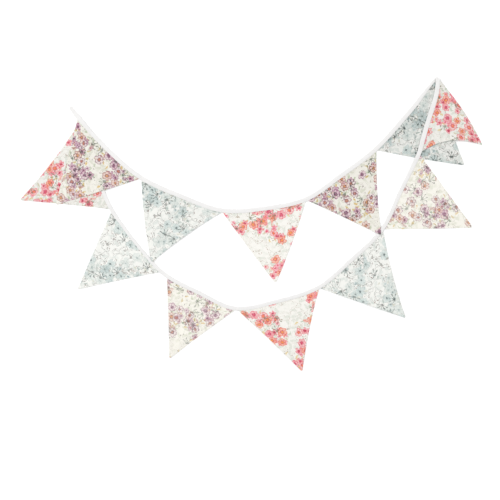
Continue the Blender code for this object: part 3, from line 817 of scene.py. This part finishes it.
sections = tape_sections(first, UP, FIRST_BACK, True)[:-2]
for past in np.linspace(-TURN_LEAD, past_fold, TURN_STEPS + 1):
    share = max(past, 0.0) / past_fold
    back = TURN_BACK[0] + (TURN_BACK[1] - TURN_BACK[0]) * share
    half = first.half[-1] + (second.half[1] - first.half[-1]) * share
    place = entry + np.append(way_in * past + first.out[-1] * back, 0.0)
    slack = max(-past, 0.0) / TURN_LEAD
    sections.append((place, np.append(first.out[-1], 0.0), UP, half, TAPE_WIDTH - back, slack))
sections += tape_sections(second, -UP, SECOND_BACK, False)[1:]
grid = []
flat = []
alongs = []
along = 0.0
last = sections[0][0]
for place, out, up, half, width, slack in sections:
    mouth = rolled_over(place, fold)
    along += np.linalg.norm(mouth - last)
    last = mouth
    bend = width - LEAF / 2 - half
    puff = (PUFF + PUFF_WAVE * ripple(along, 9.0, PUFF_LENGTH, 2.0)) * slack
    lower, upper = (half, half + puff) if up[2] > 0 else (half + puff, half)
    inner = min(TURNED_IN, bend * TURNED_IN_MOST)
    profile = [(0.0, -half), (STITCH_LINE, -half), (inner, -lower), (bend * FLAT_SHARE, -lower)]
    for k in range(BEND_POINTS):
        angle = math.pi * k / (BEND_POINTS - 1)
        profile.append((bend + half * math.sin(angle), -half * math.cos(angle)))
    profile += [(bend * FLAT_SHARE, upper), (inner, upper), (STITCH_LINE, half), (0.0, half)]
    steps = np.concatenate([[0.0], np.cumsum([math.dist(a, b) for a, b in zip(profile, profile[1:])])])
    grid.append([rolled_over(place + out * w + up * h, fold) for w, h in profile])
    flat.append([(step, along) for step in steps])
    alongs.append(along)
grid, flat = np.array(grid), np.array(flat)
opened_out = float(flat[:, -1, 0].mean())

# White cotton woven plain and cut on the bias, so its yarns run aslant. It looks chalky and matt,
# dimpled by its stitches, with a faint step where the raw edge is turned in under it.
bias_tape, tree, shader = new_material("white_bias_cut_cotton")
chart = add(tree, "UVMap", {}, uv_map="cloth")
place = add(tree, "VectorMath", {0: chart, "Scale": 1 / MM}, operation="SCALE")
straight = add(tree, "SeparateXYZ", {0: place})
aslant = add(tree, "VectorRotate", {"Vector": place, "Angle": math.pi / 4}, rotation_type="Z_AXIS")
over = plain_weave(tree, aslant)
slub = add(tree, "TexNoise", {"Vector": place, "Scale": 1 / TAPE_SLUB, "Detail": 3.0}, **FLAT_NOISE)
woven = add(tree, "Math", {0: over, 1: 0.45, 2: slub}, operation="MULTIPLY_ADD")
other_edge = add(tree, "Math", {0: opened_out, 1: straight.outputs["X"]}, operation="SUBTRACT")
from_mouth = add(tree, "Math", {0: straight.outputs["X"], 1: other_edge}, operation="MINIMUM")
phase = add(tree, "Math", {0: straight.outputs["Y"], 1: math.tau / STITCH_PITCH}, operation="MULTIPLY")
dimple = add(tree, "Math", {0: phase}, operation="COSINE")
held = add(tree, "MapRange", {0: from_mouth, 1: 1.0, 2: 4.0, 3: 1.1, 4: 0.0}, **SMOOTH)
pucker = add(tree, "Math", {0: dimple, 1: held}, operation="MULTIPLY")
turned_in = add(tree, "MapRange", {0: from_mouth, 1: TURNED_IN - 0.4, 2: TURNED_IN + 0.4, 3: 1.2, 4: 0.0},
                **SMOOTH)
height = add(tree, "Math", {0: woven, 1: pucker}, operation="ADD")
height = add(tree, "Math", {0: height, 1: turned_in}, operation="ADD")
relief = add(tree, "Bump", {"Height": height, "Strength": 0.5, "Distance": 0.15 * MM})
# The white varies at random as uneven dust, and is painted a little darker where the yarns dip, as shade
# between them.
dusty = add(tree, "TexNoise", {"Vector": place, "Scale": 1 / DUST, "Detail": 3.0}, **FLAT_NOISE)
dust_and_weave_shade = add(tree, "Math", {0: dusty, 1: woven}, operation="MULTIPLY")
tone = add(tree, "MapRange", {0: dust_and_weave_shade, 1: 0.0, 2: 0.5, 3: 0.93, 4: 1.02})
white = add(tree, "VectorMath", {0: linear(TAPE_WHITE)[:3], "Scale": tone}, operation="SCALE")
fill(tree, shader, {"Normal": relief, "Base Color": white, "Roughness": 0.85,
                    "Specular IOR Level": 0.25, "Sheen Weight": 0.1})

tape = cloth_sheet("binding_tape", grid, flat, LEAF, bias_tape)
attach(tape, "root")
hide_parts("tape")


# The topstitching. One row of machine stitches in white spun thread runs along the tape close to
# its mouth, through both leaves and the pennants, and shows on both faces.

THREAD = 0.34         # how thick it is
PLY_TURNS = 2.2       # turns of its plies in a millimetre
FUZZ = 0.2
STITCH_LENGTH = 2.5
ROW_START, ROW_STOP = 2.0, 3.0    # the row stops this far short of the tape's ends
SIDES = 6
# Each ring of a stitch: its share of the length, of the thickness, and its rise off the tape.
STITCH_SHAPE = ((0.0, 0.5, -0.22), (0.12, 0.85, 0.03), (0.5, 1.0, 0.1), (0.88, 0.85, 0.03), (1.0, 0.5, -0.22))


def on_tape(mark, side):
    """A point on the outside of a leaf at the stitch line, the way out of the cloth and the way across."""
    at = np.interp(mark, alongs, np.arange(len(alongs)))
    low = min(int(at), len(alongs) - 2)
    row = grid[low] * (1 - at + low) + grid[low + 1] * (at - low)
    mouth, near, far = (row[0], row[1], row[-2]) if side < 0 else (row[-1], row[-2], row[1])
    away = unit(near - far)
    return near + away * LEAF / 2, away, unit(near - mouth)


points = []
faces = []
lengths = []
for side in (-1, 1):
    for mark in np.arange(ROW_START, along - ROW_STOP, STITCH_PITCH):
        start = len(points)
        for share, thick, rise in STITCH_SHAPE:
            centre, away, across = on_tape(mark + share * STITCH_LENGTH, side)
            for step in range(SIDES):
                angle = math.tau * step / SIDES
                spoke = (across * math.cos(angle) + away * math.sin(angle)) * thick * THREAD / 2
                x, y, z = centre + away * rise + spoke
                points.append((x + LAYOUT_SHIFT[0], y + LAYOUT_SHIFT[1], z))
                lengths.append((mark + share * STITCH_LENGTH, step / SIDES))
        for ring in range(len(STITCH_SHAPE) - 1):
            for step in range(SIDES):
                a, b = start + ring * SIDES + step, start + ring * SIDES + (step + 1) % SIDES
                faces.append((a, b, b + SIDES, a + SIDES))
        last_ring = start + (len(STITCH_SHAPE) - 1) * SIDES
        faces.append(tuple(range(start, start + SIDES)))
        faces.append(tuple(reversed(range(last_ring, last_ring + SIDES))))
mesh = bpy.data.meshes.new("topstitching")
mesh.from_pydata([tuple(value * MM for value in point) for point in points], [], faces)
chart = mesh.uv_layers.new(name="thread")
for loop in mesh.loops:
    chart.data[loop.index].uv = lengths[loop.vertex_index]
mesh.shade_smooth()

# White sewing thread, spun from short fibres and plied. It looks a shade softer than the tape, with
# the twist of its plies as fine relief.
spun_thread, tree, shader = new_material("white_spun_thread")
chart = add(tree, "UVMap", {}, uv_map="thread")
thread = add(tree, "SeparateXYZ", {0: chart})
along, around = thread.outputs["X"], thread.outputs["Y"]
wound = add(tree, "Math", {0: along, 1: PLY_TURNS, 2: around}, operation="MULTIPLY_ADD")
phase = add(tree, "Math", {0: wound, 1: math.tau}, operation="MULTIPLY")
ply = add(tree, "Math", {0: phase}, operation="SINE")
fuzz = add(tree, "TexNoise", {"Vector": along, "Scale": 1 / FUZZ, "Detail": 2.0})
relief = add(tree, "Bump", {"Height": ply, "Strength": 0.4, "Distance": 0.04 * MM})
tone = add(tree, "MapRange", {0: fuzz, 1: 0.3, 2: 0.7, 3: 0.94, 4: 1.06})
white = add(tree, "VectorMath", {0: linear(TAPE_WHITE)[:3], "Scale": tone}, operation="SCALE")
fill(tree, shader, {"Normal": relief, "Base Color": white, "Roughness": 0.6, "Sheen Weight": 0.15})
mesh.materials.append(spun_thread)
stitches = bpy.data.objects.new("topstitching", mesh)
scene.collection.objects.link(stitches)
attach(stitches, "root")
